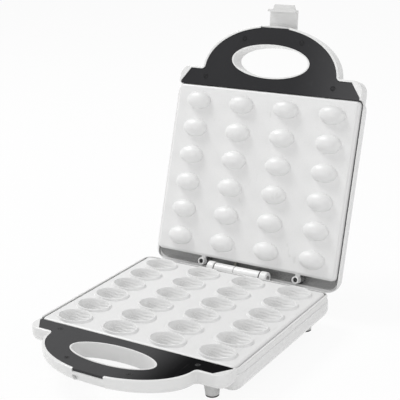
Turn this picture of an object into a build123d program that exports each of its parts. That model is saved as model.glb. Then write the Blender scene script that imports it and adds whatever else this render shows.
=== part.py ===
from build123d import *
import os
from math import atan2, cos, radians, sin, sqrt, tan

# Electric nut cookie maker, shown open. Millimetres, +Z up, +Y from the handle to the hinge.
# The origin is on the table, under the middle of the open maker.
# Each half is drawn in the frame of its own cooking face, whose Z comes out of the face: a depth
# is measured from the face towards the back of that half.

# Grid of cups in the lower plate and of bumps in the upper one, and how far back its middle lies
cups_y = -25.289
cup_columns = 4
cup_rows = 6
column_pitch = 54.0
row_pitch = 30.5
cup_length = 34.6
cup_width = 25.4
cup_depth = 12.0
lip_height = 2.2
lip_land = 1.2
collar_spread = 1.2
bump_length = 29.6
bump_width = 19.8
bump_height = 8.5

# Pressed plates
plate_wall = 1.6
plate_side_margin = 28.5
plate_front_margin = 17.25
plate_rear_margin = 18.15
plate_skirt = 8.0
plate_edge_radius = 3.5
plate_corner_radius = 5.0

# Casings
stand_height = 38.0
face_gap = 2.6
shell_wall = 3.2
side_gap = 1.3
front_gap = 0.7
skirt_gap = 0.8
base_rear_gap = 0.4
base_rear_wall = 3.1
lid_rear_overhang = 13.2
rim_drop = 6.0
rim_radius = 1.4
band_drop = 0.5
band_inset = 0.8
band_radius = 1.0
shield_gap = 0.8
base_edge_radius = 12.0
base_corner_radius = 12.5
lid_depth = 20.0
lid_edge_radius = 12.4
lid_corner_radius = 15.0
vent_length = 26.0
vent_width = 2.6
vent_pitch = 7.0
vent_count = 5

# Handles and their dark inserts
insert_tip_x = 108.0
insert_tip_y = -96.5
insert_shoulder_x = 97.0
insert_shoulder_y = -111.5
arch_half_width = 79.5
arch_reach = 50.5
arch_notch_radius = 5.0
shell_shoulder_radius = 12.0
insert_thickness = 2.5
insert_sink = 0.4
insert_fit = 0.2
insert_ledge = 1.6
insert_edge_radius = 0.5
grip_rim = 2.4
grip_rim_radius = 1.0
grip_root_y = -84.0
grip_knee_y = -87.0
grip_knee_radius = 20.0
grip_floor = 3.0
underside_slope = 30.0
hand_hole_y = -125.5
hand_hole_half_length = 47.0
hand_hole_half_width = 18.6
hand_hole_lining = 1.6
base_grip_front_depth = 14.0
base_grip_root_depth = 16.5
base_grip_edge_radius = 8.0
lid_grip_front_depth = 17.5
lid_grip_edge_radius = 8.0

# Hinge
hinge_behind_plate = 9.65
hinge_below_face = 2.7
lid_opening = 107.8
barrel_radius = 6.3
barrel_half_length = 27.2
barrel_end_gap = 1.2
barrel_seam_x = 3.5
barrel_seam_width = 1.0
barrel_seam_depth = 0.6
ear_width = 8.0
ear_radius = 7.0
ear_edge_radius = 1.0
ear_foot_height = 11.0
ear_foot_depth = 1.8
hinge_pin_radius = 3.1
hinge_pin_length = 13.0
hinge_pin_fit = 0.05
sleeve_bore_radius = 1.7
sleeve_cap = 2.0
arm_depth = 10.0
arm_rear_inset = 1.1
arm_thickness = 7.5

# Latch and its pin
latch_pivot_depth = 14.0
latch_pivot_y = -158.0
latch_open_angle = 78.0
latch_half_width = 16.5
latch_front_gap = 0.6
latch_side_gap = 0.6
latch_panel_wall = 2.4
latch_knuckle_radius = 3.0
latch_knuckle_gap = 0.6
latch_pin_radius = 1.25
latch_pin_fit = 0.05
latch_web_height = 5.0
latch_hook_gap = 0.3
latch_hook_wall = 2.5
latch_hook_length = 6.0
latch_lip_height = 5.2
latch_lip_wall = 2.0
latch_lip_root_half_width = 13.5
latch_lip_end_half_width = 11.7
lock_half_width = 21.1
lock_wall = 3.0
keeper_depth = 6.0
channel_depth = 1.0

# Feet
front_foot_x = 80.0
front_foot_y = -85.0
rear_foot_x = 93.5
rear_foot_y = 77.5
foot_bottom_radius = 6.5
foot_taper = 8.0
foot_root_depth = 21.0
pad_thickness = 1.6
pad_inset = 0.2
pad_stem_radius = 2.4
pad_stem_length = 4.0
pad_stem_fit = 0.05

# Heating elements, their clamps and heat shields
heater_radius = 3.0
heater_gap = 0.3
heater_bend = 12.0
heater_outer_x = 84.0
heater_inner_x = 28.0
heater_front_y = -66.0
heater_middle_y = 34.0
heater_rear_y = 66.0
heater_tail_x = 14.0
heater_tail_y = 86.0
terminal_radius = 1.2
terminal_length = 4.0
post_x = 54.0
post_y = 45.0
post_radius = 4.0
post_gap = 0.2
clamp_wall = 1.2
clamp_width = 9.0
clamp_overhang = 5.0
shield_wall = 0.6
shield_margin = 8.0
shield_front_y = -86.0
shield_rear_y = 78.0
shield_corner_radius = 8.0

# Screws
screw_clearance = 0.2
thread_fit = 0.05
plate_screw_radius = 1.5
plate_screw_head_radius = 3.0
plate_screw_head_height = 1.8
plate_screw_bite = 8.0
plate_screw_sink = 0.6
clamp_screw_bite = 5.0
insert_screw_radius = 1.3
insert_screw_head_radius = 2.5
insert_screw_head_height = 0.9
insert_screw_bite = 7.0
insert_screw_front_x = 34.5
insert_screw_front_y = -148.0
insert_screw_rear_x = 77.0
insert_screw_rear_y = -103.5
insert_boss_radius = 3.4
screw_slot_width = 0.7
screw_slot_depth = 0.4
screw_slot_share = 0.6
screw_edge_share = 0.33
thread_end_gap = 0.5

# Lugs and tabs of the upper plate
lug_left_x = -50.0
lug_right_x = 66.0
lug_behind_plate = 5.7
lug_radius = 3.9
lug_top = 1.2
lug_bottom_depth = 6.0
lug_bore_radius = 2.65
lug_bore_depth = 3.2
lug_strap_width = 5.0
lug_strap_wall = 2.5
lug_screw_head_radius = 2.4
lug_screw_length = 12.0
tab_x = 60.0
tab_half_width = 8.0
tab_reach = 3.0
tab_depth = 4.5
tab_wall = 1.5
tab_fit = 0.3

# Electrical pieces
thermostat_depth = 7.0
thermostat_seat_radius = 7.0
thermostat_radius = 7.8
thermostat_cup_height = 2.0
thermostat_body_radius = 7.0
thermostat_height = 8.0
blade_half_width = 1.6
blade_wall = 0.8
blade_length = 4.0
blade_y = 4.0
fuse_radius = 1.9
fuse_half_length = 7.5
fuse_edge_radius = 0.6
fuse_y = 17.0
block_x = -44.0
block_y = 87.0
block_length = 20.0
block_width = 8.0
block_height = 7.0
block_plinth = 2.0
block_pitch = 6.0
block_screw_radius = 1.6
block_screw_depth = 1.5
wire_radius = 1.1
wire_bend = 2.2
block_lead_run = 6.6
board_lead_run = 8.8
wire_end_gap = 0.3
wire_channel_radius = 1.5
gland_x = -78.0
gland_depth = 13.2
gland_seat = 0.5
gland_seat_radius = 6.4
gland_radius = 4.6
gland_bore_radius = 3.2
gland_flange_radius = 5.8
gland_flange_wall = 1.6
gland_edge_radius = 0.8
gland_inner_length = 2.0
gland_fit = 0.05
lens_x = 14.0
lens_y = -78.0
lens_radius = 3.4
lens_fit = 0.1
lens_proud = 0.8
lens_flange_radius = 4.8
lens_flange_wall = 1.2
lens_dome = 0.7
lamp_gap = 0.3
lamp_radius = 1.7
lamp_length = 2.6
lamp_tip_radius = 0.85
lamp_board_half_length = 24.5
lamp_board_half_width = 7.0
lamp_board_wall = 1.4
lamp_post_radius = 1.8
lamp_post_inset = 3.0

# Sizes that follow from the ones above
sheet_middle = plate_wall / 2
plate_half_width = (cup_columns - 1) / 2 * column_pitch + plate_side_margin
plate_front = -(cup_rows - 1) / 2 * row_pitch - plate_front_margin
plate_rear = (cup_rows - 1) / 2 * row_pitch + plate_rear_margin
cavity_half_width = plate_half_width + side_gap
shell_half_width = cavity_half_width + shell_wall
cavity_front = plate_front - front_gap
tray_front = cavity_front - shell_wall
base_cavity_rear = plate_rear + base_rear_gap
base_rear = base_cavity_rear + base_rear_wall
lid_rear = plate_rear + lid_rear_overhang
lid_cavity_rear = lid_rear - shell_wall
lid_floor = lid_depth - shell_wall
insert_rear = plate_front - insert_fit
insert_seat = insert_sink + insert_thickness
grip_front = insert_shoulder_y - arch_reach - grip_rim
hinge_y = plate_rear + hinge_behind_plate
hinge_z = stand_height - hinge_below_face
lid_hinge_height = face_gap + hinge_below_face
ear_x = barrel_half_length + barrel_end_gap
ear_outer_x = ear_x + ear_width
lug_y = plate_rear + lug_behind_plate
base_heater_depth = cup_depth + plate_wall + heater_gap + heater_radius
lid_heater_depth = plate_wall + 2 * heater_gap + heater_radius
base_post_depth = base_heater_depth + heater_radius + heater_gap
lid_post_depth = lid_heater_depth + heater_radius + heater_gap
base_shield_depth = base_post_depth + clamp_wall
lid_shield_depth = lid_post_depth + clamp_wall
base_floor = base_shield_depth + shield_wall + shield_gap
base_depth = base_floor + shell_wall
latch_reach = latch_pivot_y - grip_front + latch_front_gap
latch_hook_drop = latch_pivot_depth + face_gap + keeper_depth + latch_hook_gap
latch_notch_half_width = latch_half_width + latch_side_gap
latch_notch_rear = latch_pivot_y + latch_knuckle_radius + latch_knuckle_gap
lock_rear = latch_notch_rear + lock_wall
seat_front = grip_front + grip_rim
lamp_board_depth = lid_floor - lens_flange_wall - lamp_gap - lamp_length
insert_screw_points = [
    (insert_screw_front_x, insert_screw_front_y),
    (-insert_screw_front_x, insert_screw_front_y),
    (insert_screw_rear_x, insert_screw_rear_y),
    (-insert_screw_rear_x, insert_screw_rear_y),
]
lug_points = [(-lug_left_x, lug_y), (-lug_right_x, lug_y)]

# Where a point of the shut lid lies once the lid stands open, turned about the hinge
turn = radians(lid_opening)


def opened(y, z):
    """Y and Z, with the lid open, of a point given with the lid shut"""
    back = y - hinge_y
    up = z - hinge_z
    return hinge_y + back * cos(turn) + up * sin(turn), hinge_z - back * sin(turn) + up * cos(turn)


# The table, the cooking faces, and the latch: its Y goes from its pin to its hook, its Z inwards
table = Plane(origin=(0, cups_y, 0))
base_face = table.offset(stand_height)
lid_face_y, lid_face_z = opened(0, stand_height + face_gap)
lid_face = Plane(
    origin=(0, cups_y + lid_face_y, lid_face_z),
    x_dir=(-1, 0, 0),
    z_dir=(0, -sin(turn), -cos(turn)),
)
latch_turn = turn + radians(latch_open_angle)
latch_face = Plane(
    origin=lid_face.from_local_coords((0, latch_pivot_y, -latch_pivot_depth)),
    x_dir=(1, 0, 0),
    z_dir=(0, cos(latch_turn), -sin(latch_turn)),
)


def side(face, x=0):
    """The plane across a half at one x: its X runs to the rear, its Y out of the face"""
    return Plane(origin=face.from_local_coords((x, 0, 0)), x_dir=face.y_dir, z_dir=face.x_dir)


def across(face, y=0):
    """The plane along a half at one y: its Z runs to the rear, its Y is the half's X"""
    return Plane(origin=face.from_local_coords((0, y, 0)), x_dir=face.z_dir, z_dir=face.y_dir)


def out_of(face):
    """Sorts pieces of a half from its back to its cooking face"""
    return Axis(face.origin, face.z_dir)


def rearward(face):
    """Sorts pieces of a half from its handle to its hinge"""
    return Axis(face.origin, face.y_dir)


# Shapes that both halves share
def tray_block(face, inset, rear, top, depth, corner, edge_radius, rim=0):
    """A casing's tray as a solid: flat on top, rounded all along its bottom"""
    front = tray_front + inset
    with BuildPart() as block:
        with BuildSketch(face.offset(-top)):
            with Locations((0, (front + rear) / 2)):
                RectangleRounded(2 * (shell_half_width - inset), rear - front, corner)
        extrude(amount=-(depth - top))
        fillet(block.faces().sort_by(out_of(face))[0].edges(), edge_radius)
        if rim:
            fillet(block.faces().sort_by(out_of(face))[-1].edges(), rim)
    return block.part


def grip_outline(plane, grow, rear, shoulder_radius=0):
    """A handle's outline, larger than its insert by grow: an arch, and bevelled or round shoulders"""
    bevel = atan2(insert_tip_x - insert_shoulder_x, insert_tip_y - insert_shoulder_y)
    tip_x = insert_tip_x + grow
    tip_y = insert_tip_y - grow * tan(bevel / 2)
    shoulder_x = insert_shoulder_x + grow * tan((radians(90) - bevel) / 2)
    shoulder_y = insert_shoulder_y - grow
    notch_x = arch_half_width + grow
    if shoulder_radius:
        shoulder = [(tip_x, shoulder_y)]
    else:
        shoulder = [(tip_x, tip_y), (shoulder_x, shoulder_y)]
    right = [(tip_x, rear), *shoulder, (notch_x, shoulder_y)]
    left = [(-x, y) for x, y in reversed(right)]
    with BuildSketch(plane) as outline:
        with BuildLine():
            Polyline(*left, *right)
            EllipticalCenterArc((0, shoulder_y), notch_x, arch_reach, 180, arc_size=180)
        make_face()
        if shoulder_radius:
            shoulders = outline.vertices().group_by(Axis.Y)[0].sort_by(Axis.X)
            fillet([shoulders[0], shoulders[-1]], shoulder_radius)
        notches = outline.vertices().group_by(Axis.Y)[0].sort_by(Axis.X)[1:3]
        fillet(notches, arch_notch_radius - grow)
    return outline.sketch


def grip_block(face, grow, top, front_depth, root_depth, shoulder_radius=0):
    """A handle as a solid: flat on top, its underside sloping down to the tray's bottom"""
    front = grip_front + grip_rim - grow
    with BuildPart() as block:
        outline = grip_outline(face.offset(-top), grow, grip_root_y, shoulder_radius)
        extrude(outline, amount=-(root_depth - top))
        with BuildSketch(side(face)) as profile:
            with BuildLine():
                Polyline(
                    (front, -top),
                    (front, -front_depth),
                    (grip_knee_y, -root_depth),
                    (grip_root_y, -root_depth),
                    (grip_root_y, -top),
                    close=True,
                )
            make_face()
            knee = profile.vertices().group_by(Axis.Y)[0].sort_by(Axis.X)[0]
            fillet(knee, grip_knee_radius)
        extrude(amount=insert_tip_x + grow, both=True, mode=Mode.INTERSECT)
    return block.part


def round_grip(face, block, edge_radius):
    """Rounds a handle's lower edges, and the outer edge of its rim"""
    with BuildPart() as grip:
        add(block)
        downward = -cos(radians(underside_slope))
        under = grip.faces().filter_by(lambda f: f.normal_at().dot(face.z_dir) < downward)
        edges = under.edges()
        lower = edges.filter_by(lambda e: edges.count(e) == 1).sort_by(rearward(face))[:-1]
        fillet(lower, edge_radius)
        rim = grip.faces().sort_by(out_of(face))[-1].edges().sort_by(rearward(face))[:-1]
        fillet(rim, grip_rim_radius)
    return grip.part


def grip_hollow(face, front_depth, root_depth, lock_rear):
    """What is scooped out of a handle: the insert's seat, and under it a room with screw posts"""
    room = grip_block(
        face, -insert_ledge, insert_seat, front_depth - grip_floor, root_depth - grip_floor
    )
    with BuildPart() as hollow:
        add(room)
        with BuildSketch(face):
            with Locations((0, (grip_front + lock_rear) / 2)):
                Rectangle(2 * lock_half_width, lock_rear - grip_front)
            with Locations((0, (tray_front + grip_root_y) / 2)):
                Rectangle(2 * shell_half_width, grip_root_y - tray_front)
            with Locations(*insert_screw_points):
                Circle(insert_boss_radius)
        extrude(amount=-root_depth, mode=Mode.SUBTRACT)
        extrude(grip_outline(face, insert_fit, plate_front), amount=-insert_seat)
        with BuildSketch(face):
            with Locations((0, (grip_front + latch_notch_rear) / 2)):
                Rectangle(2 * latch_notch_half_width, latch_notch_rear - grip_front)
        extrude(amount=-insert_seat)
        with BuildSketch(face):
            with Locations((0, hand_hole_y)):
                Ellipse(hand_hole_half_length - insert_fit, hand_hole_half_width - insert_fit)
        extrude(amount=-root_depth, mode=Mode.SUBTRACT)
    return hollow.part


def plate_bay(face, rear, drop):
    """The room a plate's skirt needs in its casing, open above the rim"""
    with BuildPart() as bay:
        with BuildSketch(face.offset(-drop)):
            with Locations((0, (cavity_front + rear) / 2)):
                Rectangle(2 * shell_half_width, rear - cavity_front)
        extrude(amount=drop + lip_height)
        with BuildSketch(face.offset(-drop)):
            with Locations((0, (cavity_front + rear) / 2)):
                RectangleRounded(
                    2 * cavity_half_width, rear - cavity_front, plate_corner_radius + front_gap
                )
        extrude(amount=-(plate_skirt + skirt_gap - drop))
    return bay.part


def plate_block(face, inset, top, edge_radius):
    """The outside or the inside of a pressed plate"""
    with BuildPart() as block:
        with BuildSketch(face.offset(-plate_skirt)):
            with Locations((0, (plate_front + plate_rear) / 2)):
                RectangleRounded(
                    2 * (plate_half_width - inset),
                    plate_rear - plate_front - 2 * inset,
                    plate_corner_radius - inset,
                )
        extrude(amount=plate_skirt - top)
        fillet(block.faces().sort_by(out_of(face))[-1].edges(), edge_radius)
    return block.part


def egg(length, width, height, toward):
    """Half an ellipsoid on the XY plane, above it for toward = 1 and below it for -1"""
    up = Align.MIN if toward > 0 else Align.MAX
    with BuildPart() as body:
        with BuildSketch(Plane.XZ):
            Ellipse(length / 2, height)
            Rectangle(length / 2, height, align=(Align.MIN, up), mode=Mode.INTERSECT)
        revolve(axis=Axis.Z)
        scale(by=(1, width / length, 1))
    return body.part


def tube(points, radius, bend):
    """A round rod or lead along straight runs joined by bends"""
    with BuildPart() as rod:
        with BuildLine() as route:
            if len(points) > 2:
                FilletPolyline(*points, radius=bend)
            else:
                Line(*points)
        with BuildSketch(Plane(origin=route.line @ 0, z_dir=route.line % 0)):
            Circle(radius)
        sweep(path=route.line)
    return rod.part


def heating_tube(face, depth):
    """A half's heating element: one bent tube under the cups, with a pin at each end"""
    route = [
        (-heater_tail_x, heater_tail_y),
        (-heater_tail_x, heater_rear_y),
        (-heater_outer_x, heater_rear_y),
        (-heater_outer_x, heater_front_y),
        (-heater_inner_x, heater_front_y),
        (-heater_inner_x, heater_middle_y),
    ]
    mirrored = [(-x, y) for x, y in reversed(route)]
    points = [face.from_local_coords((x, y, -depth)) for x, y in route + mirrored]
    with BuildPart() as element:
        add(tube(points, heater_radius, heater_bend))
        with BuildSketch(across(face, heater_tail_y)):
            with Locations((-depth, heater_tail_x), (-depth, -heater_tail_x)):
                Circle(terminal_radius)
        extrude(amount=terminal_length)
    return element.part


def screw(radius, length, head_radius, head_height):
    """A screw along Z with the underside of its head on the XY plane"""
    with BuildPart() as fastener:
        with BuildSketch():
            Circle(radius)
        extrude(amount=-length)
        with BuildSketch():
            Circle(head_radius)
        extrude(amount=head_height)
        fillet(fastener.faces().sort_by(Axis.Z)[-1].edges(), screw_edge_share * head_height)
        with BuildSketch(Plane.XY.offset(head_height)):
            Rectangle(2 * screw_slot_share * head_radius, screw_slot_width)
            Rectangle(screw_slot_width, 2 * screw_slot_share * head_radius)
        extrude(amount=-screw_slot_depth, mode=Mode.SUBTRACT)
    return fastener.part


def clamps(face, level):
    """Bars across the heating element, one over each pair of posts"""
    half_length = (heater_outer_x - heater_inner_x) / 2 + clamp_overhang
    with BuildPart() as bars:
        with BuildSketch(face.offset(-level)):
            with GridLocations(heater_outer_x + heater_inner_x, 2 * post_y, 2, 2):
                SlotOverall(2 * half_length, clamp_width)
            with GridLocations(2 * post_x, 2 * post_y, 2, 2):
                Circle(plate_screw_radius + screw_clearance, mode=Mode.SUBTRACT)
        extrude(amount=-clamp_wall)
    return bars.part


def shield(face, level):
    """A thin sheet that keeps the element's heat off the casing"""
    with BuildPart() as sheet:
        with BuildSketch(face.offset(-level)):
            with Locations((0, (shield_front_y + shield_rear_y) / 2)):
                RectangleRounded(
                    2 * (cavity_half_width - shield_margin),
                    shield_rear_y - shield_front_y,
                    shield_corner_radius,
                )
            with GridLocations(2 * post_x, 2 * post_y, 2, 2):
                Circle(plate_screw_radius + screw_clearance, mode=Mode.SUBTRACT)
        extrude(amount=-shield_wall)
    return sheet.part


def handle_insert(face):
    """The dark panel let into a handle, with its hand hole and sunk screw holes"""
    with BuildPart() as panel:
        extrude(grip_outline(face.offset(-insert_sink), 0, insert_rear), amount=-insert_thickness)
        with BuildSketch(face.offset(-insert_sink)):
            with Locations((0, (seat_front + latch_notch_rear) / 2)):
                Rectangle(
                    2 * (latch_notch_half_width - insert_fit), latch_notch_rear - seat_front
                )
        extrude(amount=-insert_thickness)
        with BuildSketch(face):
            with Locations((0, hand_hole_y)):
                Ellipse(hand_hole_half_length, hand_hole_half_width)
            with Locations(*insert_screw_points):
                Circle(insert_screw_radius + screw_clearance)
        extrude(amount=-insert_seat, mode=Mode.SUBTRACT)
        top = panel.faces().sort_by(out_of(face))[-1]
        fillet(top.outer_wire().edges(), insert_edge_radius)
        with BuildSketch(face):
            with Locations(*insert_screw_points):
                Circle(insert_screw_head_radius + screw_clearance)
        extrude(amount=-(insert_sink + insert_screw_head_height), mode=Mode.SUBTRACT)
    return panel.part


def behind(face, depth):
    """The plane at a depth behind a face, looking away from it"""
    return Plane(origin=face.from_local_coords((0, 0, -depth)), x_dir=face.x_dir, z_dir=-face.z_dir)


# Hollows and backs of a cup and a bump
cup = egg(cup_length, cup_width, cup_depth + lip_height, -1)
with BuildPart() as cup_bowl:
    add(
        egg(
            cup_length + 2 * plate_wall,
            cup_width + 2 * plate_wall,
            cup_depth + lip_height + plate_wall,
            -1,
        )
    )
    split(bisect_by=Plane.XY.offset(-lip_height - sheet_middle), keep=Keep.BOTTOM)

bump = egg(bump_length, bump_width, bump_height, 1)
with BuildPart() as bump_hollow:
    add(egg(bump_length - 2 * plate_wall, bump_width - 2 * plate_wall, bump_height - plate_wall, 1))
    with BuildSketch():
        Ellipse(bump_length / 2 - plate_wall, bump_width / 2 - plate_wall)
    extrude(amount=-plate_wall)

# Lower plate: pressed sheet with raised-lip cups, and cast posts beneath
with BuildPart() as cup_collar:
    with BuildSketch(Plane.XY.offset(-lip_height)):
        Ellipse(
            cup_length / 2 + lip_land + collar_spread, cup_width / 2 + lip_land + collar_spread / 2
        )
    with BuildSketch():
        Ellipse(cup_length / 2 + lip_land, cup_width / 2 + lip_land)
    loft()

base_plate_outside = plate_block(base_face, 0, 0, plate_edge_radius)
base_plate_inside = plate_block(base_face, plate_wall, plate_wall, plate_edge_radius - plate_wall)

with BuildPart() as base_plate:
    add(base_plate_outside)
    add(base_plate_inside, mode=Mode.SUBTRACT)
    with Locations(base_face.offset(lip_height)):
        with GridLocations(column_pitch, row_pitch, cup_columns, cup_rows):
            add(cup_collar.part)
            add(cup_bowl.part)
            add(cup, mode=Mode.SUBTRACT)
    with BuildSketch(base_face.offset(-base_post_depth)):
        with GridLocations(2 * post_x, 2 * post_y, 2, 2):
            Circle(post_radius)
    extrude(amount=base_post_depth - sheet_middle)
    with BuildSketch(base_face.offset(-thermostat_depth)):
        Circle(thermostat_seat_radius)
    extrude(amount=thermostat_depth - sheet_middle)
    with BuildSketch(base_face.offset(-base_post_depth)):
        with GridLocations(2 * post_x, 2 * post_y, 2, 2):
            Circle(plate_screw_radius + thread_fit)
    extrude(amount=plate_screw_bite + thread_end_gap, mode=Mode.SUBTRACT)
base_plate.part.label = "base_plate"

# Upper plate: the same sheet with smooth bumps, two screw lugs behind and two tabs in front
lid_plate_outside = plate_block(lid_face, 0, 0, plate_edge_radius)
lid_plate_inside = plate_block(lid_face, plate_wall, plate_wall, plate_edge_radius - plate_wall)

with BuildPart() as lid_plate:
    add(lid_plate_outside)
    add(lid_plate_inside, mode=Mode.SUBTRACT)
    with Locations(lid_face):
        with GridLocations(column_pitch, row_pitch, cup_columns, cup_rows):
            add(bump)
            add(bump_hollow.part, mode=Mode.SUBTRACT)
    with BuildSketch(lid_face.offset(-lid_post_depth)):
        with GridLocations(2 * post_x, 2 * post_y, 2, 2):
            Circle(post_radius)
    extrude(amount=lid_post_depth - sheet_middle)
    with BuildSketch(lid_face.offset(-lid_post_depth)):
        with GridLocations(2 * post_x, 2 * post_y, 2, 2):
            Circle(plate_screw_radius + thread_fit)
    extrude(amount=clamp_screw_bite + thread_end_gap, mode=Mode.SUBTRACT)
    with BuildSketch(lid_face.offset(-lug_bottom_depth)):
        for x, y in lug_points:
            with Locations((x, (y + plate_rear) / 2)):
                Rectangle(lug_strap_width, lug_behind_plate + plate_wall)
    extrude(amount=lug_strap_wall)
    with BuildSketch(lid_face.offset(-lug_bottom_depth)):
        with Locations(*lug_points):
            Circle(lug_radius)
    extrude(amount=lug_bottom_depth + lug_top)
    with BuildSketch(lid_face.offset(lug_top)):
        with Locations(*lug_points):
            Circle(lug_bore_radius)
    extrude(amount=-lug_bore_depth, mode=Mode.SUBTRACT)
    with BuildSketch(lid_face.offset(lug_top)):
        with Locations(*lug_points):
            Circle(plate_screw_radius + screw_clearance)
    extrude(amount=-(lug_top + lug_bottom_depth), mode=Mode.SUBTRACT)
    with BuildSketch(lid_face.offset(-tab_depth)):
        with GridLocations(2 * tab_x, 1, 2, 1):
            with Locations((0, plate_front - (tab_reach - plate_wall) / 2)):
                Rectangle(2 * tab_half_width, tab_reach + plate_wall)
    extrude(amount=-tab_wall)
lid_plate.part.label = "lid_plate"

# Handle inserts and their screws
base_handle_insert = handle_insert(base_face)
base_handle_insert.label = "base_handle_insert"
lid_handle_insert = handle_insert(lid_face)
lid_handle_insert.label = "lid_handle_insert"

insert_screw = screw(
    insert_screw_radius,
    insert_thickness - insert_screw_head_height + insert_screw_bite,
    insert_screw_head_radius,
    insert_screw_head_height,
)
insert_screw_depth = insert_sink + insert_screw_head_height

with BuildPart() as base_insert_screws:
    with Locations(base_face.offset(-insert_screw_depth)):
        with Locations(*insert_screw_points):
            add(insert_screw)
base_insert_screws.part.label = "base_insert_screws"

with BuildPart() as lid_insert_screws:
    with Locations(lid_face.offset(-insert_screw_depth)):
        with Locations(*insert_screw_points):
            add(insert_screw)
lid_insert_screws.part.label = "lid_insert_screws"

# The base's tray with a narrower band above it, and its hollow round screw posts and a plinth
base_tray = tray_block(
    base_face, 0, base_rear, rim_drop, base_depth, base_corner_radius, base_edge_radius, rim_radius
)
with BuildPart() as base_band:
    with BuildSketch(base_face.offset(-(rim_drop + rim_radius))):
        with Locations((0, (tray_front + base_rear) / 2)):
            RectangleRounded(
                2 * (shell_half_width - band_inset),
                base_rear - tray_front - 2 * band_inset,
                base_corner_radius - band_inset,
            )
    extrude(amount=rim_drop + rim_radius - band_drop)
    fillet(base_band.faces().sort_by(Axis.Z)[-1].edges(), band_radius)

base_room = tray_block(
    base_face,
    shell_wall,
    base_cavity_rear,
    -lip_height,
    base_floor,
    base_corner_radius - shell_wall,
    base_edge_radius - shell_wall,
)

with BuildPart() as base_cavity:
    add(base_room)
    with BuildSketch(base_face.offset(-(base_shield_depth + shield_wall + post_gap))):
        with GridLocations(2 * post_x, 2 * post_y, 2, 2):
            Circle(post_radius)
    extrude(amount=-base_depth, mode=Mode.SUBTRACT)
    with BuildSketch(base_face.offset(-(base_floor - block_plinth))):
        with Locations((block_x, block_y)):
            Rectangle(block_length, block_width)
    extrude(amount=-base_depth, mode=Mode.SUBTRACT)

base_grip = round_grip(
    base_face,
    grip_block(
        base_face, grip_rim, 0, base_grip_front_depth, base_grip_root_depth, shell_shoulder_radius
    ),
    base_grip_edge_radius,
)
base_grip_hollow = grip_hollow(base_face, base_grip_front_depth, base_grip_root_depth, lock_rear)
base_bay = plate_bay(base_face, base_cavity_rear, band_drop)

# Route of the lead that crosses the hinge, up through the left ear and along the hinge's axis
lead_x = -(ear_x + ear_width / 2)
base_lead_route = [
    (lead_x, base_cavity_rear - wire_bend, -base_depth / 2),
    (lead_x, base_rear + wire_radius, -base_depth / 2 + wire_bend),
    (lead_x, hinge_y, -hinge_below_face),
    (-barrel_half_length + hinge_pin_length - wire_bend, hinge_y, -hinge_below_face),
]
base_lead_points = [base_face.from_local_coords(point) for point in base_lead_route]
base_lead_channel = tube(base_lead_points, wire_channel_radius, wire_bend)

# Base casing: tray and handle in one moulding, with feet, hinge ears and a seat for the gland
foot_points = [
    (front_foot_x, front_foot_y),
    (-front_foot_x, front_foot_y),
    (rear_foot_x, rear_foot_y),
    (-rear_foot_x, rear_foot_y),
]

ears = []
for x in (ear_x, -ear_outer_x):
    with BuildPart() as ear:
        with BuildSketch(side(base_face, x)):
            with Locations((hinge_y, -hinge_below_face)):
                Circle(ear_radius)
            with Locations((base_rear - ear_foot_depth / 2, -rim_drop - ear_foot_height / 2)):
                Rectangle(ear_foot_depth, ear_foot_height)
            make_hull()
        extrude(amount=ear_width)
        fillet(ear.faces().filter_by(Axis.X).edges(), ear_edge_radius)
    ears.append(ear.part)

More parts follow.
